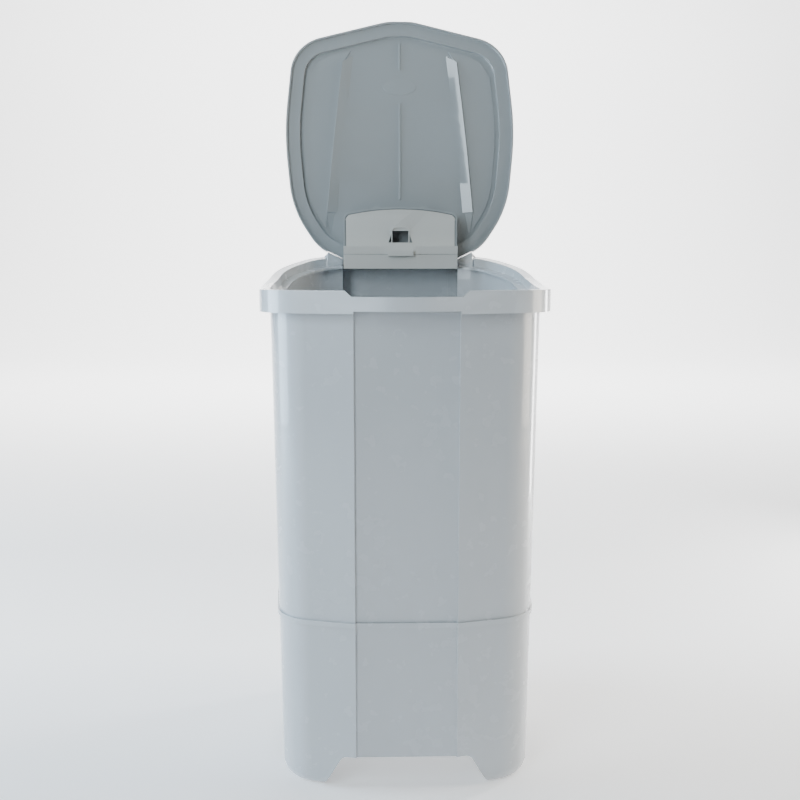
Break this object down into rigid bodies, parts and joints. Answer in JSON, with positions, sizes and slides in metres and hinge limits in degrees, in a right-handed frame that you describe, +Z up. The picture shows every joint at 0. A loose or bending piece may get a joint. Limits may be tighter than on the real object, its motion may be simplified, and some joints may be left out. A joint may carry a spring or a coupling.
{
  "type": "pet waste bin",
  "caption": "Tall free-standing pet-waste pail with a push-fit rim, a hinged lid shown open and a bag dispenser box on the lid's underside.",
  "frame": {"origin": "on the floor under the middle of the overall width and depth with the lid open, at the level the four feet stand on", "axes": "+Z up, -Y towards the front, +X to the right seen from the front"},
  "size_m": [0.3588, 0.4116, 0.9786],
  "materials": {
    "body_plastic": "glossy moulded polypropylene",
    "collar_plastic": "glossy moulded polypropylene",
    "lid_plastic": "glossy moulded polypropylene",
    "cover_plastic": "satin moulded polypropylene",
    "soft_pad": "matte",
    "steel": "plain zinc-plated",
    "card": "plain card",
    "bag_film": "dull film"
  },
  "bodies": {
    "base": {"bin_body": "body_plastic", "rim_collar": "collar_plastic", "lid_rest_pads": "soft_pad", "hinge_pin_left": "steel", "hinge_pin_right": "steel"},
    "lid": {"lid_shell": "lid_plastic", "box_housing": "lid_plastic", "box_tray": "cover_plastic", "box_screws": "steel", "cover_hinge_pin_left": "steel", "cover_hinge_pin_right": "steel", "roll_spindle": "lid_plastic"},
    "cover": {"box_cover": "cover_plastic"},
    "roll": {"roll_core": "card", "bag_roll": "bag_film"}
  },
  "joints": [
    {"name": "lid_hinge", "type": "hinge", "parent": "base", "child": "lid", "pos_m": [0, 0.1582, 0.63053], "axis": [1, 0, 0], "range_deg": [0, 103]},
    {"name": "cover_hinge", "type": "hinge", "parent": "lid", "child": "cover", "pos_m": [0, 0.1388, 0.6935], "axis": [-1, 0, 0], "range_deg": [0, 75]},
    {"name": "roll_spin", "type": "hinge", "parent": "lid", "child": "roll", "pos_m": [0, 0.1437, 0.6415], "axis": [1, 0, 0], "continuous": true}
  ]
}
